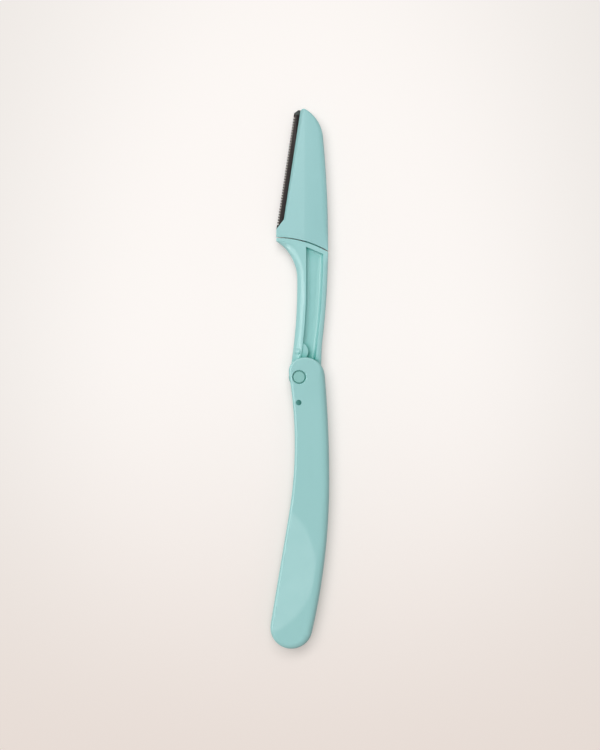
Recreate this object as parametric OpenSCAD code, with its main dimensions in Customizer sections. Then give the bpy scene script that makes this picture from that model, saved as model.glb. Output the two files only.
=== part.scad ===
// Folding eyebrow razor, opened out and lying on the back of its handle.
// The pivot axis is the origin in plan, +Y runs along the razor to the blade's tip,
// +Z is out of the front face, and the handle's back lies at height zero.

/* [Handle outline] */
// Furthest point of the spine edge to the right of the pivot
belly_x = 8.75; // [8.2:0.05:9.6]
// How far below the pivot that point lies
belly_drop = 30; // [26:0.5:34]
// Radius of the spine edge above the belly
upper_spine_r = 355; // [300:5:420]
// Radius of the spine edge below the belly
lower_spine_r = 195; // [180:5:230]
// Radius of the head of the handle, round the pivot
crown_r = 5.75; // [5.4:0.05:6.2]
// Radius of the crown's inner corner
crown_corner_r = 3.8; // [3.4:0.1:4.4]
// Direction in which the two crown arcs meet
crown_turn = 119; // [112:1:126]
// Radius of the hollow inner edge
waist_r = 125; // [110:1:140]
// How far below the pivot the handle is narrowest
waist_drop = 19.5; // [16:0.5:23]
// Distance from the pivot down to the centre of the round end
handle_reach = 72.7; // [70:0.1:76]
// Radius of the round end
end_r = 6.1; // [5.8:0.1:6.6]
// Width of the rounding along the spine edge
spine_round = 2.1; // [1.4:0.1:2.3]
// Width of the rounding along the hollow edge
hollow_round = 0.9; // [0.5:0.1:1.2]
// Width of the rounding round the crown
crown_round = 0.5; // [0.3:0.1:0.8]
// Direction, up from level, at which the spine's rounding has narrowed to the crown's
crown_thin_turn = 42; // [30:2:60]
// Depth of these roundings, as a share of their width
handle_round_depth = 0.7; // [0.5:0.05:1]

/* [Handle channel] */
// Thickness of the front and back walls
wall_t = 1.4; // [1.3:0.1:2]
// Width of the channel between the walls
channel_h = 4.2; // [4.1:0.1:5]
// Thickness of the spine web that joins the walls
web_t = 1.3; // [1:0.1:1.5]
// Height above the pivot of the web's end, where the opened arm stops
stop_y = 2.9; // [2.4:0.1:3.3]
// Direction, down from level, at which the web ends round the handle's end
web_end_turn = 52; // [40:1:64]

/* [Pivot] */
// Radius of the pivot pin
pin_r = 1.9; // [1.6:0.05:2.1]
// Chamfer round each end of the pin
pin_chamfer = 0.4; // [0.2:0.05:0.6]
// Depth of the pin's front end below the wall's face
pin_recess = 0.2; // [0.05:0.05:0.4]
// Chamfer round the pin holes in the walls
hole_chamfer = 0.2; // [0.1:0.05:0.3]
// Radial clearance of the arm's bore round the pin
pin_clearance = 0.05; // [0.02:0.01:0.1]
// Angle through which the arm folds
fold_angle = 178; // [174:1:178]

/* [Arm] */
// Clearance between the arm's faces and each wall
arm_gap = 0.2; // [0.18:0.01:0.3]
// Radius of the hub round the pin
hub_r = 3; // [2.8:0.1:3.3]
// Inner edge of the neck, left of the pivot, at its narrowest
neck_left = 0.6; // [0.2:0.1:1.2]
// Outer edge of the neck and of the blade head at their widest
spine_x = 8.4; // [8.2:0.1:9]
// Height at which the arm is widest to the right
spine_y = 38.5; // [36:0.5:40]
// Radius of the neck's outer edge
neck_spine_r = 240; // [220:5:280]
// Width of the stop shoulder, right of the pivot
shoulder_x = 6.35; // [6.2:0.05:6.5]
// Height above the pivot of the top of the stop shoulder
shoulder_top = 9; // [8:0.1:10]
// Radius of the neck's long inner edge
neck_hollow_r = 150; // [130:5:170]
// Height at which that edge is narrowest
neck_hollow_y = 26.5; // [25:0.5:28]
// Radius of the sweep from the neck out to the blade head
sweep_r = 13; // [12:0.25:14]
// Height of the centre of that sweep
sweep_y = 28.5; // [28:0.25:29.5]
// Width of the flank along the neck's inner edge
flank_w = 2.2; // [1.6:0.05:2.3]
// Width of the flank where it is widest, on the sweep
sweep_flank_w = 2.6; // [2.2:0.05:2.8]
// Share of the sweep's turn, from the neck, at which that is
sweep_flank_share = 0.7; // [0.5:0.05:0.8]
// Width of the rounding along the neck's outer edge
rail_round = 1.1; // [0.6:0.05:1.2]
// Depth of the flank and of that rounding, as a share of their width
flank_depth = 0.8; // [0.6:0.05:1]
// Steepness of the flank where it leaves the rail
crest_turn = 25; // [10:1:35]
// Width of the inner rail beside the recess
inner_rail = 2.6; // [2.45:0.05:3]
// Width of the outer rail beside the recess
outer_rail = 1.4; // [1.3:0.05:2]
// Depth of the recess in each face
recess_depth = 1.2; // [0.8:0.05:1.3]
// Width of the curve from the recess's walls into its floor
recess_round = 1.4; // [0.8:0.05:1.6]
// Width of the rim left above the recess
recess_rim = 1.2; // [0.9:0.05:1.6]

/* [Detent] */
// Distance of the detent nub from the pivot
nub_reach = 7.4; // [7.2:0.1:7.8]
// Direction of the nub from the pivot, from +X, with the razor open
nub_turn = 91; // [90:0.5:94]
// Radius of the ball that the nub is a cap of
nub_ball_r = 1.4; // [1.1:0.1:1.4]
// Height of the nub above the rail
nub_rise = 0.12; // [0.08:0.01:0.15]
// Radius of the round pad that carries the nub
pad_r = 2.75; // [2.6:0.05:3]
// Depth of the pad's face below the rail
pad_drop = 0.25; // [0.15:0.05:0.4]
// Radius of the detent hole in the front wall
detent_hole_r = 0.78; // [0.75:0.01:1]

/* [Seam and tongue] */
// Height of the seam at its inner end
seam_y = 40.7; // [40.2:0.1:41.4]
// Inner end of the seam, left of the pivot
seam_left = 6.65; // [6.4:0.05:6.9]
// Radius of the seam
seam_r = 30; // [28:0.5:34]
// Open gap along the seam
seam_gap = 0.3; // [0.2:0.05:0.4]
// Width of the tongue
tongue_w = 4.4; // [3.8:0.1:4.8]
// Thickness of the tongue
tongue_t = 1.8; // [1.4:0.1:2]
// Height of the tongue's end above the seam's inner end
tongue_rise = 6.5; // [5:0.1:7.5]
// Chamfer on the tongue's two corners
tongue_chamfer = 0.7; // [0.4:0.1:0.9]
// Width of the slit that lets the tongue's two prongs spring
prong_slit = 0.8; // [0.6:0.1:1]
// Clearance of the tongue's faces and sides in its socket
tongue_clearance = 0.08; // [0.05:0.01:0.12]
// Clearance left at the tongue's end
seat_gap = 0.05; // [0.02:0.01:0.2]

/* [Blade head] */
// Radius of the head's spine
head_spine_r = 330; // [300:5:360]
// Radius of the shoulder that leads to the tip
shoulder_r = 10.3; // [9.8:0.1:10.8]
// Height of the shoulder's centre
shoulder_y = 68.9; // [68.4:0.1:69.6]
// Radius of the plastic tip
tip_r = 1; // [0.9:0.05:1.2]
// Ridge between the head's flat and its slope to the blade, right of the pivot
ridge_x = 1.6; // [1.2:0.1:2]
// Fall of that slope
slope_turn = 6; // [4:0.5:7]
// Fall of the narrow bevel beside the guard
bevel_turn = 55; // [50:1:60]
// Half thickness of the plastic lip at the guard
lip_half = 0.75; // [0.7:0.01:0.85]
// Width of the rounding along the head's spine
head_round = 1.4; // [0.8:0.1:1.6]
// Width of the rounding round the plastic tip
tip_round = 0.5; // [0.3:0.05:0.7]
// Depth of these roundings, as a share of their width
head_round_depth = 0.6; // [0.4:0.05:0.9]
// Rounding along the seam and the foot
crease_round = 0.15; // [0.1:0.01:0.25]

/* [Blade] */
// Lower end of the guard's outer edge, left of the pivot
edge_left = 6.6; // [6.5:0.05:6.7]
// Height of that end above the pivot
edge_y = 43.4; // [43:0.1:43.8]
// Lean of the cutting edge away from the razor's length
edge_lean = 8.7; // [8.2:0.1:9.2]
// Length of the guarded edge
edge_len = 34.8; // [34:0.1:35]
// Thickness of the blade
blade_t = 0.25; // [0.2:0.01:0.3]
// Width of the blade from its cutting edge to its back
blade_w = 4.4; // [4:0.1:4.6]
// Width of the ground bevel
grind_w = 0.7; // [0.5:0.05:1]
// Radius of the locating holes
peg_r = 0.7; // [0.5:0.05:0.8]
// Number of locating holes
peg_count = 3; // [2:1:4]

/* [Guard] */
// Width of the guard that stands out of the plastic
guard_show = 1.74; // [1.6:0.01:1.85]
// Width of the guard's legs inside the plastic
guard_grip = 1.25; // [1:0.05:1.4]
// Half thickness of the folded guard
guard_half = 0.4; // [0.36:0.01:0.45]
// Thickness of the guard's sheet
sheet_t = 0.16; // [0.12:0.01:0.18]
// Distance between neighbouring teeth
tooth_pitch = 0.8; // [0.6:0.05:1.2]
// Width of a gap between teeth, as a share of the pitch
tooth_gap_share = 0.45; // [0.3:0.05:0.6]
// Depth of the gaps from the guard's outer edge
tooth_depth = 0.5; // [0.42:0.02:0.8]
// Cut across the guard's top corner
guard_corner = 1.1; // [0.8:0.1:1.4]
// Height at which the foot's slope leaves the edge, below the guard's end
foot_drop = 0.45; // [0.35:0.05:0.7]
// Slope of the foot under the guard, from square to the edge
foot_turn = 61; // [58:1:65]

/* [Hidden] */

teal = "#9bcbca";
teal_head = "#9ac8c8";
teal_pin = "#8ec4c0";
steel = "#a9adb0";
dark_steel = "#383a35";

// How far a chord may stand off its arc, and the steps round a rounded edge
chord_error = 0.015;
round_steps = 5;
// Width over which a rounded slab's core laps into its rim
core_lap = 0.1;
// Length that cuts run past what they cut
over = 2;
// Facets of the true circles
facets = 96;

full_t = 2 * wall_t + channel_h;
mid_z = full_t / 2;
arm_low = wall_t + arm_gap;
arm_high = full_t - arm_low;
arm_t = arm_high - arm_low;

// A point at a distance and direction from another
function polar(c, r, a) = [c.x + r * cos(a), c.y + r * sin(a)];
// Direction from one point to another
function heading(from, to) = atan2(to.y - from.y, to.x - from.x);
// One of the two points where two circles cross
function crossing(c1, r1, c2, r2, side) =
    let (d = c2 - c1, l = norm(d), a = (l * l + r1 * r1 - r2 * r2) / (2 * l),
         h = sqrt(r1 * r1 - a * a))
    c1 + d * a / l + side * h * [-d.y, d.x] / l;
// Level at which an arc passes a height, as a direction from its centre
function at_height(c, r, y) = asin((y - c.y) / r);
// Chords that an arc needs
function chords(r, a0, a1) = max(1, ceil(abs(a1 - a0) / (2 * acos(1 - chord_error / r))));

// An outline is a list of [x, y, normal x, normal y, rounding], counter-clockwise.
// An arc's rounding runs from e0 to e1, and an arc that bends inward has its normal turned.
function arc(c, r, a0, a1, e0, e1, turned = false) =
    let (n = chords(r, a0, a1), s = turned ? -1 : 1)
    [for (i = [0:n]) let (k = i / n, a = a0 + (a1 - a0) * k, p = polar(c, r, a))
        [p.x, p.y, s * cos(a), s * sin(a), e0 + (e1 - e0) * k]];
// A sharp corner between two edges whose outward normals point along a and b
function corner(p, a, b, e) =
    let (w = 1 + cos(a - b)) [p.x, p.y, (cos(a) + cos(b)) / w, (sin(a) + sin(b)) / w, e];
// An outline without the first point of a stretch, or without its last
function tail(list) = [for (i = [1:len(list) - 1]) list[i]];
function trunk(list) = [for (i = [0:len(list) - 2]) list[i]];
function plan(outline) = [for (p = outline) [p.x, p.y]];

// A slab between two heights whose edges are rounded over each point's own width, and to a
// share of that width in depth. With a crest angle the rounding leaves the face at a slope.
// A band runs round the rim, and a flat core laps into the band and fills it. Only its low
// edge is rounded where it is made for a cut.
module rounded_slab(outline, low, high, depth_share = 1, crest = 0, both = true) {
    n = len(outline);
    most = (high - low) * 0.49;
    turns = [for (k = [0:round_steps]) crest + (90 - crest) * k / round_steps];
    function inset(p, more) = let (d = p[4] + more) [p.x - d * p[2], p.y - d * p[3]];
    function ring(a, up) = [for (p = outline)
        let (q = inset(p, -p[4] * (sin(a) - sin(crest)) / (1 - sin(crest))),
             z = min(p[4] * depth_share, most) * (1 - cos(a) / cos(crest)))
            [q.x, q.y, up ? high - z : low + z]];
    function inner(z) = [for (p = outline) let (q = inset(p, core_lap)) [q.x, q.y, z]];
    rings = concat([inner(low)], [for (a = turns) ring(a, false)],
                   both ? [for (k = [round_steps:-1:0]) ring(turns[k], true)]
                        : [[for (p = outline) [p.x, p.y, high]]], [inner(high)]);
    count = len(rings);
    polyhedron(
        points = [for (r = rings) each r],
        faces = [for (k = [0:count - 1], i = [0:n - 1], half = [0, 1])
            let (a = k * n + i, b = k * n + (i + 1) % n,
                 next = (k + 1) % count * n, c = next + i, d = next + (i + 1) % n)
                half == 0 ? [a, c, d] : [a, d, b]]);
    translate([0, 0, low]) linear_extrude(high - low)
        polygon([for (p = outline) inset(p, core_lap / 2)]);
}

module bore(r, low, high, at = [0, 0]) {
    translate([at.x, at.y, low]) cylinder(r = r, h = high - low, $fn = facets);
}

// The handle's outline: each arc is tangent to the next.
upper_spine_c = [belly_x - upper_spine_r, -belly_drop];
lower_spine_c = [belly_x - lower_spine_r, -belly_drop];
crown_c = [upper_spine_c.x + sqrt(pow(upper_spine_r - crown_r, 2) - pow(belly_drop, 2)), 0];
corner_c = polar(crown_c, crown_r - crown_corner_r, crown_turn);
waist_c = [corner_c.x - sqrt(pow(waist_r + crown_corner_r, 2) - pow(corner_c.y + waist_drop, 2)),
           -waist_drop];
end_c = [lower_spine_c.x + sqrt(pow(lower_spine_r - end_r, 2) - pow(handle_reach - belly_drop, 2)),
         -handle_reach];
crown_start = heading(upper_spine_c, crown_c);
corner_end = heading(corner_c, waist_c) + 360;
end_start = heading(end_c, waist_c) + acos((end_r + waist_r) / norm(waist_c - end_c));
end_stop = heading(lower_spine_c, end_c);

handle_outline = let (e = spine_round, h = hollow_round, c = crown_round) concat(
    trunk(arc(upper_spine_c, upper_spine_r, 0, crown_start, e, e)),
    trunk(arc(crown_c, crown_r, crown_start, crown_thin_turn, e, c)),
    trunk(arc(crown_c, crown_r, crown_thin_turn, crown_turn, c, c)),
    trunk(arc(corner_c, crown_corner_r, crown_turn, corner_end, c, h)),
    arc(waist_c, waist_r, corner_end - 180, end_start - 180, h, h, true),
    trunk(arc(end_c, end_r, end_start, end_stop + 360, h, e)),
    trunk(arc(lower_spine_c, lower_spine_r, end_stop, 0, e, e)));

// The channel is open all along the hollow edge and at the crown, down to the web.
channel_far = belly_x + end_r + over;
channel_plan = let (w = web_t) concat(
    [[channel_far, stop_y]],
    plan(arc(crown_c, crown_r - w, asin(stop_y / (crown_r - w)), crown_start, 0, 0)),
    plan(tail(arc(upper_spine_c, upper_spine_r - w, crown_start, 0, 0, 0))),
    plan(tail(arc(lower_spine_c, lower_spine_r - w, 0, end_stop, 0, 0))),
    plan(tail(arc(end_c, end_r - w, end_stop, -web_end_turn, 0, 0))),
    [polar(end_c, end_r + over, -web_end_turn),
     [end_c.x, end_c.y - end_r - over],
     [-channel_far, end_c.y - end_r - over],
     [-channel_far, crown_r + over],
     [channel_far, crown_r + over]]);

detent_at = polar([0, 0], nub_reach, nub_turn + fold_angle);

// A cone that chamfers a hole's mouth in a face at height z, upward or downward
module mouth(z, up) {
    translate([0, 0, z]) mirror([0, 0, up ? 0 : 1]) translate([0, 0, -hole_chamfer])
        cylinder(r1 = pin_r, r2 = pin_r + 2 * hole_chamfer, h = 2 * hole_chamfer, $fn = facets);
}

module handle() {
    color(teal) difference() {
        rounded_slab(handle_outline, 0, full_t, handle_round_depth);
        translate([0, 0, wall_t]) linear_extrude(channel_h) polygon(channel_plan);
        bore(pin_r, -over, full_t + over);
        mouth(full_t, true);
        mouth(0, false);
        bore(detent_hole_r, mid_z, full_t + over, detent_at);
    }
}

module pivot_pin() {
    high = full_t - pin_recess;
    color(teal_pin) rotate_extrude($fn = facets) polygon([
        [0, 0], [pin_r - pin_chamfer, 0], [pin_r, pin_chamfer],
        [pin_r, high - pin_chamfer], [pin_r - pin_chamfer, high], [0, high]]);
}

// The neck: a long hollow inner edge, a sweep out to the blade, and the curved seam on top.
neck_x = -neck_left;
neck_spine_c = [spine_x - neck_spine_r, spine_y];
hollow_c = [neck_x - neck_hollow_r, neck_hollow_y];
sweep_c = [neck_x - sweep_r, sweep_y];
seam_c = [-seam_left, seam_y - seam_r];
neck_top_r = seam_r - seam_gap;
sweep_turn = acos((seam_c.x - sweep_c.x) / sweep_r);
sweep_wide = sweep_flank_share * sweep_turn;
neck_shoulder = crossing(neck_spine_c, neck_spine_r, seam_c, neck_top_r, 1);
hollow_end = at_height(hollow_c, neck_hollow_r, 0);
shoulder_turn = at_height(neck_spine_c, neck_spine_r, shoulder_top);

arm_outline = let (
    top_out = heading(neck_spine_c, neck_shoulder), top_up = heading(seam_c, neck_shoulder),
    foot_left = polar(hollow_c, neck_hollow_r, hollow_end), foot_right = [shoulder_x, stop_y],
    shoulder_out = heading(foot_right, polar(neck_spine_c, neck_spine_r, shoulder_turn)) - 90,
    s = crease_round)
    concat(
        [corner(foot_right, -90, shoulder_out, rail_round)],
        trunk(arc(neck_spine_c, neck_spine_r, shoulder_turn, top_out, rail_round, rail_round)),
        [corner(neck_shoulder, top_out, top_up, s)],
        trunk(tail(arc(seam_c, neck_top_r, top_up, 90, s, s))),
        [corner(seam_c + [0, neck_top_r], 90, 180, s),
         corner(polar(sweep_c, sweep_r, sweep_turn), 180, sweep_turn + 180, s)],
        tail(arc(sweep_c, sweep_r, sweep_turn, sweep_wide, s, sweep_flank_w, true)),
        tail(arc(sweep_c, sweep_r, sweep_wide, 0, sweep_flank_w, flank_w, true)),
        trunk(arc(hollow_c, neck_hollow_r, 0, hollow_end, flank_w, flank_w, true)),
        [corner(foot_left, hollow_end - 180, -90, s), corner([hub_r, 0], -90, 0, s),
         corner([hub_r, stop_y], 0, -90, s)]);

// The recess between the rails ends above the hub.
recess_floor_y = stop_y + recess_rim;
recess_outline = let (
    left_c = [neck_x + inner_rail - neck_hollow_r, neck_hollow_y],
    left_top = [neck_x + inner_rail, neck_hollow_y],
    right_r = neck_spine_r - outer_rail, top_r = neck_top_r - recess_rim,
    top_left = [left_top.x, seam_c.y + sqrt(pow(top_r, 2) - pow(left_top.x - seam_c.x, 2))],
    top_right = crossing(neck_spine_c, right_r, seam_c, top_r, 1),
    right_low = at_height(neck_spine_c, right_r, recess_floor_y),
    right_high = heading(neck_spine_c, top_right), up = heading(top_right, top_left) - 90,
    left_low = at_height(left_c, neck_hollow_r, recess_floor_y), e = recess_round)
    concat(
        [corner(polar(neck_spine_c, right_r, right_low), -90, right_low, e)],
        trunk(tail(arc(neck_spine_c, right_r, right_low, right_high, e, e))),
        [corner(top_right, right_high, up, e), corner(top_left, up, 180, e)],
        trunk(arc(left_c, neck_hollow_r, 0, left_low, e, e, true)),
        [corner(polar(left_c, neck_hollow_r, left_low), left_low - 180, -90, e)]);

nub_at = polar([0, 0], nub_reach, nub_turn);

tongue_x = (neck_x + spine_x) / 2;

// Plan of the tongue, or of its socket when clearances are given
module tongue_plan(gap, end_gap) {
    half = tongue_w / 2 + gap;
    top = seam_y + tongue_rise + end_gap;
    cut = tongue_chamfer;
    translate([tongue_x, 0]) polygon([
        [-half, seam_c.y], [half, seam_c.y], [half, top - cut],
        [half - cut, top], [-half + cut, top], [-half, top - cut]]);
}

module arm() {
    color(teal) difference() {
        union() {
            difference() {
                rounded_slab(arm_outline, arm_low, arm_high, flank_depth, crest_turn);
                for (side = [0, 1]) mirrored_face(side) recess();
            }
            bore(hub_r, arm_low, arm_high);
            translate([nub_at.x, nub_at.y, arm_high + nub_rise - nub_ball_r])
                sphere(r = nub_ball_r, $fn = facets);
            tongue();
        }
        bore(pin_r + pin_clearance, arm_low - over, arm_high + over);
    }
}

// Turns a front feature into the same one on the back
module mirrored_face(back) {
    translate([0, 0, mid_z]) mirror([0, 0, back]) translate([0, 0, -mid_z]) children();
}

// The recess, with walls that curve into its floor, and with the detent's round pad standing
// in it a little below the rails
module recess() {
    difference() {
        rounded_slab(recess_outline, arm_high - recess_depth, arm_high + over,
                     recess_depth / recess_round, both = false);
        bore(pad_r, arm_low, arm_high + 2 * over, nub_at);
    }
    translate([0, 0, arm_high - pad_drop]) linear_extrude(pad_drop + over)
        polygon(plan(recess_outline));
}

// The tongue starts in the neck's rim and is split into two springy prongs.
module tongue() {
    translate([0, 0, mid_z - tongue_t / 2]) linear_extrude(tongue_t) difference() {
        tongue_plan(0, 0);
        translate(seam_c) circle(r = neck_top_r - recess_rim / 2, $fn = facets);
        translate([tongue_x - prong_slit / 2, seam_y + seam_gap])
            square([prong_slit, tongue_rise + over]);
    }
}

// The blade's own frame: its Y runs up the cutting edge and its X into the plastic.
edge_foot = [-edge_left, edge_y];
function on_edge(x, y) = edge_foot + [x * cos(edge_lean) + y * sin(edge_lean),
                                      y * cos(edge_lean) - x * sin(edge_lean)];
module edge_frame() {
    translate([edge_foot.x, edge_foot.y, mid_z]) rotate([0, 0, -edge_lean]) children();
}

head_spine_c = [spine_x - head_spine_r, spine_y];
shoulder_c = [head_spine_c.x
              + sqrt(pow(head_spine_r - shoulder_r, 2) - pow(shoulder_y - spine_y, 2)), shoulder_y];
root_out = 180 - edge_lean;
// Centre of the tip: inside the shoulder's arc and one radius from the root line
root_at = on_edge(guard_show + tip_r, 0);
tip_c = let (n = [cos(root_out), sin(root_out)], across = (root_at - shoulder_c) * n,
             along = sqrt(pow(shoulder_r - tip_r, 2) - across * across))
    shoulder_c + across * n + along * [sin(edge_lean), cos(edge_lean)];
foot_corner = on_edge(0, -foot_drop);
foot_way = foot_turn - edge_lean;
root_foot = on_edge(guard_show, guard_show * tan(foot_turn) - foot_drop);
head_right = crossing(head_spine_c, head_spine_r, seam_c, seam_r, 1);

head_outline = let (
    right_out = heading(head_spine_c, head_right), right_down = heading(seam_c, head_right) - 180,
    spine_end = heading(head_spine_c, shoulder_c), tip_start = heading(shoulder_c, tip_c),
    seam_end = [foot_corner.x, seam_c.y + sqrt(pow(seam_r, 2) - pow(foot_corner.x - seam_c.x, 2))],
    seam_down = heading(seam_c, seam_end) - 180, e = head_round, s = crease_round)
    concat(
        [corner(head_right, right_down, right_out, s)],
        trunk(tail(arc(head_spine_c, head_spine_r, right_out, spine_end, e, e))),
        trunk(arc(shoulder_c, shoulder_r, spine_end, tip_start, e, tip_round)),
        arc(tip_c, tip_r, tip_start, root_out, tip_round, s),
        [corner(root_foot, root_out, foot_way + 90, s),
         corner(foot_corner, foot_way + 90, 180, s),
         corner(seam_end, 180, seam_down, s)],
        trunk(tail(arc(seam_c, seam_r, seam_down + 180, right_down + 180, s, s, true))));

// The slope to the blade and the narrow bevel beside the guard, cut from one face
module head_slopes() {
    reach = edge_len + seam_y;
    foot = guard_show * tan(foot_turn) - foot_drop;
    translate([ridge_x, 0, arm_high]) rotate([0, -slope_turn, 0])
        translate([-reach, 0, 0]) cube([reach, 2 * reach, reach]);
    edge_frame() translate([guard_show, 0, lip_half]) rotate([0, -bevel_turn, 0])
        translate([-over, foot, 0]) cube([reach, edge_len, reach]);
}

module blade_head() {
    color(teal_head) difference() {
        rounded_slab(head_outline, arm_low, arm_high, head_round_depth);
        for (side = [0, 1]) mirrored_face(side) head_slopes();
        edge_frame() guard_bed();
        edge_frame() difference() {
            blade_blank(seat_gap);
            pegs();
        }
        translate([0, 0, mid_z - tongue_t / 2 - tongue_clearance])
            linear_extrude(tongue_t + 2 * tongue_clearance)
                tongue_plan(tongue_clearance, seat_gap);
    }
}

// Everything on the guard's side of the foot's slope and below the guard's top end
module end_cuts(low_gap, inner) {
    back = guard_show + blade_w;
    linear_extrude(2 * over, center = true) polygon([
        [-over, -foot_drop + low_gap - over * tan(foot_turn)],
        [back, -foot_drop + low_gap + back * tan(foot_turn)],
        [back, edge_len - inner], [back - inner, edge_len],
        [guard_corner, edge_len], [0, edge_len - guard_corner],
        [-over, edge_len - guard_corner]]);
}

// Section of the folded guard, with its fold at x = 0
module fold_section(half, length) {
    translate([half, 0]) circle(r = half, $fn = facets);
    translate([half, -half]) square([length - half, 2 * half]);
}

// The guard's bed: a slit that its legs fill, between the plastic's two lips
module guard_bed() {
    along_edge() fold_section(guard_half, guard_show + guard_grip);
}

// Runs a section in X and Z along the edge, past both ends
module along_edge() {
    translate([0, edge_len + over, 0]) rotate([90, 0, 0])
        linear_extrude(edge_len + 2 * over) children();
}

module blade_blank(gap) {
    edge = sheet_t + blade_t / 2;
    back = edge + blade_w;
    intersection() {
        along_edge() polygon([
            [edge, 0], [edge + grind_w, blade_t / 2], [back, blade_t / 2],
            [back, -blade_t / 2], [edge + grind_w, -blade_t / 2]]);
        end_cuts(gap, blade_w / 2);
    }
}

module pegs() {
    low = guard_show * tan(foot_turn);
    step = (edge_len - low) / (peg_count + 1);
    for (i = [1:peg_count])
        bore(peg_r, -over, over, [guard_show + guard_grip + peg_r + sheet_t, low + i * step]);
}

module blade() {
    color(steel) edge_frame() difference() {
        blade_blank(seat_gap);
        pegs();
    }
}

module blade_guard() {
    gap_w = tooth_pitch * tooth_gap_share;
    teeth_low = tooth_depth * tan(foot_turn) - foot_drop + seat_gap + tooth_pitch - gap_w;
    teeth_high = edge_len - guard_corner - tooth_pitch;
    color(dark_steel) edge_frame() difference() {
        intersection() {
            along_edge() difference() {
                fold_section(guard_half, guard_show + guard_grip);
                translate([sheet_t, 0]) fold_section(guard_half - sheet_t, guard_show + guard_grip);
            }
            end_cuts(seat_gap, 0);
        }
        for (y = [teeth_low:tooth_pitch:teeth_high])
            translate([-over, y, -over]) cube([tooth_depth + over, gap_w, 2 * over]);
    }
}

handle();
pivot_pin();
arm();
blade_head();
blade();
blade_guard();
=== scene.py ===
"""A folding eyebrow razor, opened out and lying on its back on a pale surface."""
import math

import bmesh
import bpy
from mathutils import Matrix, Vector


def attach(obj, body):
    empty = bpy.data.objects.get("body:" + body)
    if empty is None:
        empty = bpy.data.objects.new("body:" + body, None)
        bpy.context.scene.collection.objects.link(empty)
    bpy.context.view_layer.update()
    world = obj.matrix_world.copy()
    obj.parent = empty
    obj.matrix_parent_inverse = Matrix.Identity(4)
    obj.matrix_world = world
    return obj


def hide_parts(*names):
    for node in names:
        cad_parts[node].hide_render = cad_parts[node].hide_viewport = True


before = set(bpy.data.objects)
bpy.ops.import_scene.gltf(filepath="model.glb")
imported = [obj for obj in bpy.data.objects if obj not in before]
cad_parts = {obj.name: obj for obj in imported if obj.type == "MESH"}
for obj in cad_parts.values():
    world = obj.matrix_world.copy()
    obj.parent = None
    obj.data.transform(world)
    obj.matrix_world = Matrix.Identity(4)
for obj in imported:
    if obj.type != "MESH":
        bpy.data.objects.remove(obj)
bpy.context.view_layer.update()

# The handle is one moulding: two walls joined along the spine, with the slot for the arm
# between them. It is ABS from a polished steel mould, so it is glossy and slightly wavy, and
# its edges are broken by less than a tenth of a millimetre.
MM = 0.001
ABS_TEAL = "#93c8c7"
ABS_TEAL_PALE = "#9acccb"
# The darker, greener colour painted into hollows as painted shade.
ABS_TEAL_HOLLOW_SHADE = "#38a196"
ABS_ROUGHNESS = 0.3
ABS_IOR = 1.53
FLOW_MM = 22
WAVE_MM = 7
WAVE_HEIGHT_MM = 0.02
# The real grain is too fine to show, so it is drawn about as coarse as the picture's pixels.
GRAIN_MM = 0.35
GRAIN_HEIGHT_MM = 0.001
# The halves of the mould meet at half the razor's thickness and leave a fine raised line.
PARTING_MM = 3.5
PARTING_HALF_MM = 0.05
PARTING_HEIGHT_MM = 0.02
HOLLOW_MM = 6.0
MERGE_MM = 0.002
FLAT = math.radians(0.5)


def linear(code):
    """The linear colour of an sRGB hex value, with an alpha of one."""
    parts = [int(code[i:i + 2], 16) / 255 for i in (1, 3, 5)]
    return [c / 12.92 if c <= 0.04045 else ((c + 0.055) / 1.055) ** 2.4 for c in parts] + [1.0]


def add(tree, kind, settings=None, inputs=None):
    """A node with its settings, and its inputs set to values or linked to sockets."""
    node = tree.nodes.new(kind)
    for name, value in (settings or {}).items():
        setattr(node, name, value)
    for name, value in (inputs or {}).items():
        if isinstance(value, bpy.types.NodeSocket):
            tree.links.new(value, node.inputs[name])
        else:
            node.inputs[name].default_value = value
    return node


def new_material(name):
    """An empty material, its node tree and its output node."""
    material = bpy.data.materials.new(name)
    material.use_nodes = True
    material.node_tree.nodes.clear()
    return material, material.node_tree, add(material.node_tree, "ShaderNodeOutputMaterial")


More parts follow.
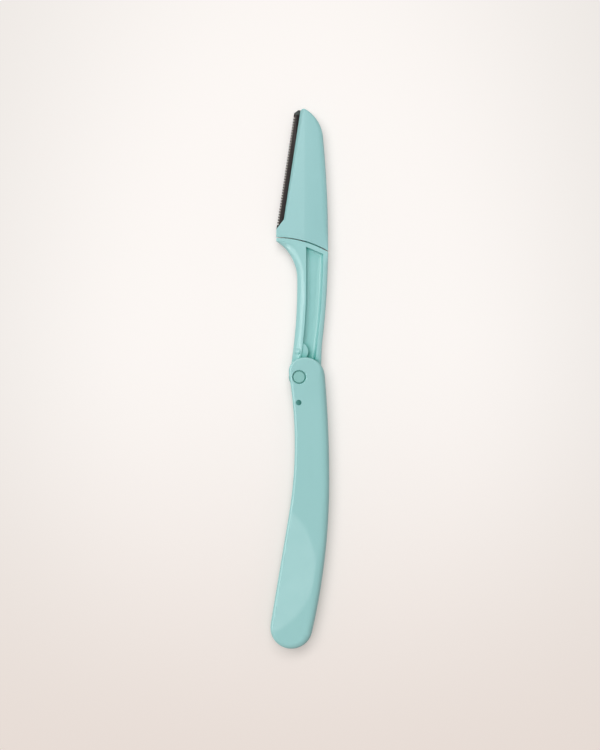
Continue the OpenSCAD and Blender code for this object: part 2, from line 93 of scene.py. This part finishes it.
def moulded_abs(name, colour, pale, hollow_shade, roughness=ABS_ROUGHNESS, hollow_mm=HOLLOW_MM):
    """Glossy moulded ABS: broad flow marks, a slight wave, fine grain and the parting line.

    In a hollow its colour is painted darker and greener: painted shade for the light that goes
    from wall to wall there. A hollow is what has walls nearer than `hollow_mm`.
    """
    material, tree, output = new_material(name)
    place = add(tree, "ShaderNodeTexCoord").outputs["Object"]
    flow = add(tree, "ShaderNodeTexNoise", inputs={
        "Vector": place, "Scale": 1 / (FLOW_MM * MM), "Detail": 2.0, "Roughness": 0.45})
    tint = add(tree, "ShaderNodeMix", {"data_type": "RGBA"}, {
        0: flow.outputs["Fac"], 6: linear(colour), 7: linear(pale)})
    # Painted shade: the colour turns towards the hollow shade where walls are near.
    open_sky = add(tree, "ShaderNodeAmbientOcclusion", {"samples": 8}, {
        "Distance": hollow_mm * MM})
    openness = add(tree, "ShaderNodeMapRange", inputs={
        "Value": open_sky.outputs["AO"], "From Min": 0.4})
    body = add(tree, "ShaderNodeMix", {"data_type": "RGBA"}, {
        0: openness.outputs["Result"], 6: linear(hollow_shade), 7: tint.outputs[2]})
    smudge = add(tree, "ShaderNodeTexNoise", inputs={
        "Vector": place, "Scale": 1 / (WAVE_MM * MM), "Detail": 4.0, "Roughness": 0.6})
    gloss = add(tree, "ShaderNodeMapRange", inputs={
        "Value": smudge.outputs["Fac"], "From Min": 0.3, "From Max": 0.7,
        "To Min": roughness - 0.02, "To Max": roughness + 0.03})
    wave = add(tree, "ShaderNodeTexNoise", inputs={
        "Vector": place, "Scale": 1 / (WAVE_MM * MM), "Detail": 1.0})
    grain = add(tree, "ShaderNodeTexNoise", inputs={
        "Vector": place, "Scale": 1 / (GRAIN_MM * MM), "Detail": 2.0})
    height = add(tree, "ShaderNodeSeparateXYZ", inputs={"Vector": place})
    on_line = add(tree, "ShaderNodeMath", {"operation": "COMPARE"}, {
        0: height.outputs["Z"], 1: PARTING_MM * MM, 2: PARTING_HALF_MM * MM})
    wavy = add(tree, "ShaderNodeBump", inputs={
        "Height": wave.outputs["Fac"], "Strength": 0.15, "Distance": WAVE_HEIGHT_MM * MM})
    grainy = add(tree, "ShaderNodeBump", inputs={
        "Height": grain.outputs["Fac"], "Strength": 0.03, "Distance": GRAIN_HEIGHT_MM * MM,
        "Normal": wavy.outputs["Normal"]})
    lined = add(tree, "ShaderNodeBump", inputs={
        "Height": on_line.outputs["Value"], "Strength": 0.4, "Distance": PARTING_HEIGHT_MM * MM,
        "Normal": grainy.outputs["Normal"]})
    shader = add(tree, "ShaderNodeBsdfPrincipled", inputs={
        "Base Color": body.outputs[2], "Roughness": gloss.outputs["Result"], "IOR": ABS_IOR,
        "Normal": lined.outputs["Normal"]})
    tree.links.new(shader.outputs["BSDF"], output.inputs["Surface"])
    return material


def in_scene(name, data):
    """A new object with that data, in the scene."""
    thing = bpy.data.objects.new(name, data)
    bpy.context.scene.collection.objects.link(thing)
    return thing


def softened(node, name, edge_mm, crease=36):
    """A copy of a node's solid, merged, with its creases broken and its normals weighted."""
    mesh = bmesh.new()
    mesh.from_mesh(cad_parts[node].data)
    bmesh.ops.remove_doubles(mesh, verts=mesh.verts, dist=MERGE_MM * MM)
    bmesh.ops.dissolve_degenerate(mesh, edges=mesh.edges, dist=MERGE_MM * MM)
    bmesh.ops.dissolve_limit(mesh, verts=mesh.verts, edges=mesh.edges, angle_limit=FLAT)
    for face in mesh.faces:
        face.smooth = True
    data = bpy.data.meshes.new(name)
    mesh.to_mesh(data)
    mesh.free()
    data.set_sharp_from_angle(angle=math.radians(crease))
    piece = in_scene(name, data)
    bevel = piece.modifiers.new("broken edges", "BEVEL")
    bevel.limit_method = "ANGLE"
    bevel.angle_limit = math.radians(crease)
    bevel.width = edge_mm * MM
    bevel.segments = 2
    weighted = piece.modifiers.new("weighted normals", "WEIGHTED_NORMAL")
    weighted.keep_sharp = True
    weighted.weight = 100
    return piece


teal_abs = moulded_abs("moulded teal ABS", ABS_TEAL, ABS_TEAL_PALE, ABS_TEAL_HOLLOW_SHADE)
handle = softened("handle", "handle_moulding", edge_mm=0.08)
handle.data.materials.append(teal_abs)
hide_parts("handle")
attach(handle, "handle")

# The pivot pin is a plain moulded rod of the same plastic, pressed into both walls with its front
# end a little below the face. Its colour is painted darker than the handle's, as painted shade for
# its sunken end.
pin_abs = moulded_abs("moulded pin ABS", "#84bdb8", "#8ac1bc", "#7db4ad", roughness=0.34)
pin = softened("pivot_pin", "pivot_pin_moulding", edge_mm=0.06)
pin.data.materials.append(pin_abs)
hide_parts("pivot_pin")
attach(pin, "handle")

# The arm is one moulding of the handle's plastic: a hub round the pin, two rails, and the split
# tongue that the blade head is pushed on to. Its recesses are shallow, so less of them gets the
# painted hollow shade.
arm = softened("arm", "arm_moulding", edge_mm=0.08, crease=20)
arm_abs = moulded_abs("moulded arm ABS", ABS_TEAL, ABS_TEAL_PALE, ABS_TEAL_HOLLOW_SHADE, hollow_mm=3.5)
arm.data.materials.append(arm_abs)
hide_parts("arm")
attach(arm, "arm")

# The blade head is a moulding of its own, of the same plastic, which is bedded round the
# legs of the guard and pushed on to the arm's tongue.
# Its colours are painted a little darker than the handle's: painted shade that evens out the
# stronger lamp light on the head.
head_abs = moulded_abs("moulded head ABS", "#8bbfbf", "#93c4c5", "#6fb0aa")
head = softened("blade_head", "blade_head_moulding", edge_mm=0.06)
head.data.materials.append(head_abs)
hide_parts("blade_head")
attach(head, "blade_head")

# The blade is a strip of hardened stainless steel, ground across its width, so it carries fine
# lines from its edge to its back. It is seen only between the guard's teeth, where it mirrors
# their black; its colour is also painted darker than bare steel, as painted shade from the guard.
EDGE_LEAN = math.radians(8.7)
# Real grinding lines are too fine to show, so these are drawn coarser.
GRIND_MM = 0.12
GRIND_STRETCH = 12
GRIND_HEIGHT_MM = 0.01
steel, tree, output = new_material("ground stainless steel")
place = add(tree, "ShaderNodeTexCoord").outputs["Object"]
# The node stretches before it turns, so the lines lie along X, nearly square to the edge,
# and the turn only moves the pattern.
along = add(tree, "ShaderNodeMapping", inputs={
    "Vector": place, "Rotation": (0, 0, EDGE_LEAN), "Scale": (1, GRIND_STRETCH, 1)})
lines = add(tree, "ShaderNodeTexNoise", inputs={
    "Vector": along.outputs["Vector"], "Scale": 1 / (GRIND_MM * GRIND_STRETCH * MM),
    "Detail": 3.0})
ground = add(tree, "ShaderNodeBump", inputs={
    "Height": lines.outputs["Fac"], "Strength": 0.3, "Distance": GRIND_HEIGHT_MM * MM})
sheen = add(tree, "ShaderNodeMapRange", inputs={
    "Value": lines.outputs["Fac"], "To Min": 0.22, "To Max": 0.4})
shader = add(tree, "ShaderNodeBsdfPrincipled", inputs={
    "Base Color": linear("#67635f"), "Metallic": 1.0, "Roughness": sheen.outputs["Result"],
    "Normal": ground.outputs["Normal"]})
tree.links.new(shader.outputs["BSDF"], output.inputs["Surface"])
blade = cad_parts["blade"]
blade.data.materials.clear()
blade.data.materials.append(steel)

# The guard is thin stainless sheet folded over the edge, slotted into fine teeth and
# blackened. Its black stops short of the top end, where the bare steel shows grey.
EDGE_FOOT_MM = (-6.6, 43.4, 3.5)
EDGE_LENGTH_MM = 34.8
SHEET_MM = 0.16
GUARD_DEPTH_MM = 2.99
GUARD_HALF_MM = 0.4
FOLD_STEPS = 10
# The sheet is swept a little past both ends of the edge and then trimmed.
SWEPT_MM = 36.0
LEAD_MM = 1.0
TOP_CORNER_MM = 1.1
FOOT_DROP_MM = 0.4
FOOT_SLOPE = math.radians(61)
# Slots are measured up the edge from its foot.
TOOTH_PITCH_MM = 0.8
SLOT_MM = 0.36
SLOT_DEPTH_MM = 0.5
FIRST_SLOT_MM = 0.94
LAST_SLOT_MM = 32.9
SLOT_COUNT = math.floor((LAST_SLOT_MM - FIRST_SLOT_MM) / TOOTH_PITCH_MM) + 1
BARE_END_MM = 1.35
BARE_FADE_MM = 0.15
MOTTLE_MM = 0.6
blackened, tree, output = new_material("blackened stainless sheet")
place = add(tree, "ShaderNodeTexCoord").outputs["Object"]
edge_frame = add(tree, "ShaderNodeMapping", {"vector_type": "TEXTURE"}, {
    "Vector": place, "Location": [v * MM for v in EDGE_FOOT_MM], "Rotation": (0, 0, -EDGE_LEAN)})
up_edge = add(tree, "ShaderNodeSeparateXYZ", inputs={"Vector": edge_frame.outputs["Vector"]})
mottle = add(tree, "ShaderNodeTexNoise", inputs={
    "Vector": place, "Scale": 1 / (MOTTLE_MM * MM), "Detail": 3.0})
bare = add(tree, "ShaderNodeMapRange", inputs={
    "Value": up_edge.outputs["Y"],
    "From Min": (EDGE_LENGTH_MM - BARE_END_MM - BARE_FADE_MM) * MM,
    "From Max": (EDGE_LENGTH_MM - BARE_END_MM + BARE_FADE_MM) * MM})
black = add(tree, "ShaderNodeMix", {"data_type": "RGBA"}, {
    0: mottle.outputs["Fac"], 6: linear("#252120"), 7: linear("#2f2a28")})
finish = add(tree, "ShaderNodeMix", {"data_type": "RGBA"}, {
    0: bare.outputs["Result"], 6: black.outputs[2], 7: linear("#545c59")})
dull = add(tree, "ShaderNodeMapRange", inputs={
    "Value": mottle.outputs["Fac"], "To Min": 0.42, "To Max": 0.58})
shader = add(tree, "ShaderNodeBsdfPrincipled", inputs={
    "Base Color": finish.outputs[2], "Metallic": 0.55, "Roughness": dull.outputs["Result"]})
tree.links.new(shader.outputs["BSDF"], output.inputs["Surface"])


def guard_tree(sizes):
    """Geometry nodes: a sheet folded into a U and swept along the edge, less a row of slots."""
    tree = bpy.data.node_groups.new("folded guard", "GeometryNodeTree")
    for name, value in sizes.items():
        kind = "NodeSocketInt" if isinstance(value, int) else "NodeSocketFloat"
        tree.interface.new_socket(name, in_out="INPUT", socket_type=kind)
    tree.interface.new_socket("Guard", in_out="OUTPUT", socket_type="NodeSocketGeometry")
    size = add(tree, "NodeGroupInput").outputs
    # The path follows the middle of the sheet: in along one leg, round the fold, and out.
    middle = add(tree, "ShaderNodeMath", {"operation": "MULTIPLY_ADD"}, {
        0: size["Sheet"], 1: -0.5, 2: size["Half"]}).outputs["Value"]
    fold = add(tree, "ShaderNodeMath", {"operation": "SUBTRACT"}, {
        0: size["Half"], 1: middle}).outputs["Value"]
    below = add(tree, "ShaderNodeMath", {"operation": "MULTIPLY"}, {
        0: middle, 1: -1.0}).outputs["Value"]
    corners = {}
    for name, x, z in (("Point 1", size["Depth"], below), ("Point 2", fold, below),
                       ("Point 3", fold, middle), ("Point 4", size["Depth"], middle)):
        corner = add(tree, "ShaderNodeCombineXYZ", inputs={"X": x, "Z": z})
        corners[name] = corner.outputs["Vector"]
    path = add(tree, "GeometryNodeCurvePrimitiveQuadrilateral", {"mode": "POINTS"}, corners)
    opened = add(tree, "GeometryNodeSetSplineCyclic", inputs={
        "Geometry": path.outputs["Curve"], "Cyclic": False})
    bent = add(tree, "GeometryNodeFilletCurve", {"mode": "POLY"}, {
        "Curve": opened.outputs[0], "Radius": middle, "Count": FOLD_STEPS})
    section = add(tree, "GeometryNodeCurvePrimitiveQuadrilateral", {"mode": "RECTANGLE"}, {
        "Width": size["Length"], "Height": size["Sheet"]})
    swept = add(tree, "GeometryNodeCurveToMesh", inputs={
        "Curve": bent.outputs[0], "Profile Curve": section.outputs["Curve"], "Fill Caps": True})
    half_length = add(tree, "ShaderNodeMath", {"operation": "MULTIPLY"}, {
        0: size["Length"], 1: 0.5})
    up = add(tree, "ShaderNodeCombineXYZ", inputs={"Y": half_length.outputs["Value"]})
    sheet = add(tree, "GeometryNodeTransform", inputs={
        "Geometry": swept.outputs["Mesh"], "Translation": up.outputs["Vector"]})
    # A row of boxes, twice as deep as the slots and taller than the fold, cuts the teeth.
    slot_middle = add(tree, "ShaderNodeMath", {"operation": "MULTIPLY_ADD"}, {
        0: size["Slot"], 1: 0.5, 2: size["First slot"]})
    start = add(tree, "ShaderNodeCombineXYZ", inputs={"Y": slot_middle.outputs["Value"]})
    step = add(tree, "ShaderNodeCombineXYZ", inputs={"Y": size["Pitch"]})
    row = add(tree, "GeometryNodeMeshLine", inputs={
        "Count": size["Slots"], "Start Location": start.outputs["Vector"],
        "Offset": step.outputs["Vector"]})
    box_depth = add(tree, "ShaderNodeMath", {"operation": "MULTIPLY"}, {
        0: size["Slot depth"], 1: 2.0})
    box_height = add(tree, "ShaderNodeMath", {"operation": "MULTIPLY"}, {
        0: size["Half"], 1: 3.0})
    box_size = add(tree, "ShaderNodeCombineXYZ", inputs={
        "X": box_depth.outputs["Value"], "Y": size["Slot"], "Z": box_height.outputs["Value"]})
    box = add(tree, "GeometryNodeMeshCube", inputs={"Size": box_size.outputs["Vector"]})
    boxes = add(tree, "GeometryNodeInstanceOnPoints", inputs={
        "Points": row.outputs["Mesh"], "Instance": box.outputs["Mesh"]})
    cutter = add(tree, "GeometryNodeRealizeInstances", inputs={"Geometry": boxes.outputs[0]})
    cut = add(tree, "GeometryNodeMeshBoolean", {"operation": "DIFFERENCE", "solver": "MANIFOLD"}, {
        "Mesh 1": sheet.outputs["Geometry"], "Mesh 2": cutter.outputs["Geometry"]})
    whole = add(tree, "GeometryNodeRealizeInstances", inputs={"Geometry": cut.outputs["Mesh"]})
    coated = add(tree, "GeometryNodeSetMaterial", inputs={
        "Geometry": whole.outputs["Geometry"], "Material": blackened})
    add(tree, "NodeGroupOutput", inputs={"Guard": coated.outputs["Geometry"]})
    return tree


guard_sizes = {
    "Length": SWEPT_MM * MM, "Depth": GUARD_DEPTH_MM * MM, "Half": GUARD_HALF_MM * MM,
    "Sheet": SHEET_MM * MM, "Pitch": TOOTH_PITCH_MM * MM, "Slot": SLOT_MM * MM,
    "Slot depth": SLOT_DEPTH_MM * MM, "First slot": (FIRST_SLOT_MM + LEAD_MM) * MM,
    "Slots": SLOT_COUNT}
maker = in_scene("guard maker", bpy.data.meshes.new("guard maker"))
modifier = maker.modifiers.new("folded guard", "NODES")
modifier.node_group = guard_tree(guard_sizes)
for socket in modifier.node_group.interface.items_tree:
    if socket.in_out == "INPUT":
        modifier[socket.identifier] = guard_sizes[socket.name]
bpy.context.view_layer.update()
made = bpy.data.meshes.new_from_object(
    maker.evaluated_get(bpy.context.evaluated_depsgraph_get()))
bpy.data.objects.remove(maker)
made.name = "blade_guard_sheet"
guard_mesh = bmesh.new()
guard_mesh.from_mesh(made)
bmesh.ops.translate(guard_mesh, verts=guard_mesh.verts, vec=(0, -LEAD_MM * MM, 0))
# The foot is trimmed to the head's slope, and the top square and then across its corner.
top = EDGE_LENGTH_MM * MM
for at, outwards in (
        ((0, -FOOT_DROP_MM * MM, 0), (math.sin(FOOT_SLOPE), -math.cos(FOOT_SLOPE), 0)),
        ((0, top, 0), (0, 1, 0)),
        ((0, top - TOP_CORNER_MM * MM, 0), (-1, 1, 0))):
    everything = guard_mesh.verts[:] + guard_mesh.edges[:] + guard_mesh.faces[:]
    bmesh.ops.bisect_plane(guard_mesh, geom=everything, plane_co=at, plane_no=outwards,
                           clear_outer=True)
    bmesh.ops.holes_fill(guard_mesh, edges=[e for e in guard_mesh.edges if e.is_boundary])
bmesh.ops.transform(guard_mesh, verts=guard_mesh.verts, matrix=Matrix.Translation(
    Vector(EDGE_FOOT_MM) * MM) @ Matrix.Rotation(-EDGE_LEAN, 4, "Z"))
bmesh.ops.recalc_face_normals(guard_mesh, faces=guard_mesh.faces)
guard_mesh.to_mesh(made)
guard_mesh.free()
guard = in_scene("blade_guard_sheet", made)
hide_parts("blade_guard")
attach(guard, "blade_head")

# The surface is a sheet of warm white paper, pinker below, and its colour is painted brightest in
# the middle and greyer outwards, a painted pool of light. Three fifths of what the camera sees of
# it is its own light, which keeps the shadows faint. That light fades within a few millimetres of
# the razor and is out beneath it, a painted contact shadow.
FLOOR_HALF = 3.0
# The painted pool of light in the middle is an oval, twice as tall as it is wide. These places are
# in metres.
LIGHT_POOL_OVAL = (1.0, 0.5, 0.0)
LIGHT_POOL_FADE_FROM, LIGHT_POOL_FADE_TO = 0.04, 0.12
PINK_FROM, PINK_TO = 0.02, -0.14
OWN_LIGHT = 1.39
OWN_SHARE = 0.42
CONTACT_MM = 7.0


def seen_rays(tree):
    """One for the rays that show a surface: from the camera, in gloss or through glass."""
    path = add(tree, "ShaderNodeLightPath").outputs
    gloss = add(tree, "ShaderNodeMath", {"operation": "MAXIMUM"}, {
        0: path["Is Glossy Ray"], 1: path["Is Transmission Ray"]})
    return add(tree, "ShaderNodeMath", {"operation": "MAXIMUM"}, {
        0: path["Is Camera Ray"], 1: gloss.outputs["Value"]}).outputs["Value"]


paper, tree, output = new_material("warm white paper")
place = add(tree, "ShaderNodeTexCoord").outputs["Object"]
# Painted pool of light: the colour greys from the bright middle outwards.
squeezed = add(tree, "ShaderNodeVectorMath", {"operation": "MULTIPLY"}, {0: place, 1: LIGHT_POOL_OVAL})
aside = add(tree, "ShaderNodeVectorMath", {"operation": "LENGTH"}, {
    0: squeezed.outputs["Vector"]})
wide = add(tree, "ShaderNodeMapRange", {"interpolation_type": "SMOOTHSTEP"}, {
    "Value": aside.outputs["Value"], "From Min": LIGHT_POOL_FADE_FROM, "From Max": LIGHT_POOL_FADE_TO})
down = add(tree, "ShaderNodeSeparateXYZ", inputs={"Vector": place})
near = add(tree, "ShaderNodeMapRange", {"interpolation_type": "SMOOTHSTEP"}, {
    "Value": down.outputs["Y"], "From Min": PINK_FROM, "From Max": PINK_TO})
light_pool_tone = add(tree, "ShaderNodeMix", {"data_type": "RGBA"}, {
    0: wide.outputs["Result"], 6: linear("#fdf9f6"), 7: linear("#ede9e5")})
tone = add(tree, "ShaderNodeMix", {"data_type": "RGBA"}, {
    0: near.outputs["Result"], 6: light_pool_tone.outputs[2], 7: linear("#e9ded7")})
lit = add(tree, "ShaderNodeBsdfDiffuse", inputs={"Color": tone.outputs[2]})
own = add(tree, "ShaderNodeEmission", inputs={"Color": tone.outputs[2], "Strength": OWN_LIGHT})
# Painted contact shadow: the paper's own light is taken out near the razor and beneath it.
shade = add(tree, "ShaderNodeAmbientOcclusion", {"samples": 8}, {"Distance": CONTACT_MM * MM})
in_open = add(tree, "ShaderNodeMapRange", inputs={
    "Value": shade.outputs["AO"], "From Min": 0.1, "From Max": 0.75, "To Max": OWN_SHARE})
share = add(tree, "ShaderNodeMath", {"operation": "MULTIPLY"}, {
    0: seen_rays(tree), 1: in_open.outputs["Result"]})
both = add(tree, "ShaderNodeMixShader", inputs={
    0: share.outputs["Value"], 1: lit.outputs["BSDF"], 2: own.outputs["Emission"]})
tree.links.new(both.outputs["Shader"], output.inputs["Surface"])
floor_mesh = bpy.data.meshes.new("floor")
floor_mesh.from_pydata([(-FLOOR_HALF, -FLOOR_HALF, 0), (FLOOR_HALF, -FLOOR_HALF, 0),
                        (FLOOR_HALF, FLOOR_HALF, 0), (-FLOOR_HALF, FLOOR_HALF, 0)],
                       [], [(0, 1, 2, 3)])
floor_mesh.materials.append(paper)
floor = in_scene("floor", floor_mesh)

# The light is an even pale surround and two soft lamps: one from the left on the razor
# alone, and a broad one from beyond the blade, which throws the short shadow below the
# handle's end. Two more lamps pick out edges of the arm and the head.
SURROUND_LIGHTS = 0.3
SURROUND_SHOWS = 0.8
world = bpy.data.worlds.new("studio")
world.use_nodes = True
surround = world.node_tree.nodes["Background"].inputs
surround["Color"].default_value = linear("#f4efed")
strength = add(world.node_tree, "ShaderNodeMapRange", inputs={
    "Value": seen_rays(world.node_tree), "To Min": SURROUND_LIGHTS, "To Max": SURROUND_SHOWS})
world.node_tree.links.new(strength.outputs["Result"], surround["Strength"])
bpy.context.scene.world = world


def soft_lamp(name, place, sides, watts, lit=None):
    """A lamp that faces the razor's middle, and lights everything or only a collection."""
    light = bpy.data.lights.new(name, "AREA")
    light.shape = "RECTANGLE"
    light.size, light.size_y = sides
    light.energy = watts
    lamp = in_scene(name, light)
    lamp.location = place
    lamp.rotation_euler = Vector(place).to_track_quat("Z", "Y").to_euler()
    lamp.light_linking.receiver_collection = lit
    return lamp


razor_only = bpy.data.collections.new("razor only")
for part in (handle, pin, arm, head, blade, guard):
    razor_only.objects.link(part)
arm_and_head = bpy.data.collections.new("arm and head")
for part in (arm, head):
    arm_and_head.objects.link(part)
soft_lamp("left lamp", (-0.74, -0.02, 0.9), sides=(0.65, 0.65), watts=5.2, lit=razor_only)
soft_lamp("far lamp", (-0.42, 0.84, 2.0), sides=(2.0, 0.9), watts=26.3)
# This one lifts the right edges of the arm and the head.
soft_lamp("right fill", (0.9, 0.2, 0.5), sides=(0.6, 0.6), watts=1.3, lit=arm_and_head)
# This one, seen in gloss only, draws the pale crest of the neck's sweep.
crest_lamp = soft_lamp("crest lamp", (-0.75, -0.77, 0.62), sides=(0.7, 0.7), watts=8.0,
                       lit=arm_and_head)
crest_lamp.visible_diffuse = False

# The sheen of a window on the lower part of the handle is a narrow spot, seen in gloss only.
# Its circle ends where the photograph's pale panel does.
VIEW_DISTANCE = 0.8
SHEEN_AT = Vector((-0.0164, -0.0548, 0.007))
SHEEN_RADIUS = 0.0219
sheen_light = bpy.data.lights.new("window sheen", "SPOT")
sheen_light.energy = 1.2
sheen_light.spot_size = 2 * math.atan(SHEEN_RADIUS / VIEW_DISTANCE)
sheen_light.spot_blend = 0.14
sheen_light.shadow_soft_size = 0.0
sheen_lamp = in_scene("window sheen", sheen_light)
sheen_lamp.location = (-0.0082, -0.1206, 0.806)
sheen_lamp.rotation_euler = (sheen_lamp.location - SHEEN_AT).to_track_quat("Z", "Y").to_euler()
sheen_lamp.visible_diffuse = False
sheen_lamp.light_linking.receiver_collection = razor_only

# The camera looks straight down on the razor, square to it, through a longish lens. At the
# height it aims at, just under the handle's face, a pixel is 0.29 mm.
PIXEL_MM = 0.29
FRAME_HEIGHT = 750
AIM_MM = (0.23, 0.61, 6.0)
camera = bpy.data.cameras.new("camera")
camera.sensor_fit = "VERTICAL"
camera.sensor_height = 24
camera.lens = camera.sensor_height * VIEW_DISTANCE / (FRAME_HEIGHT * PIXEL_MM * MM)
viewer = in_scene("camera", camera)
viewer.location = Vector(AIM_MM) * MM + Vector((0, 0, VIEW_DISTANCE))
bpy.context.scene.camera = viewer
bpy.context.scene.view_settings.view_transform = "Standard"
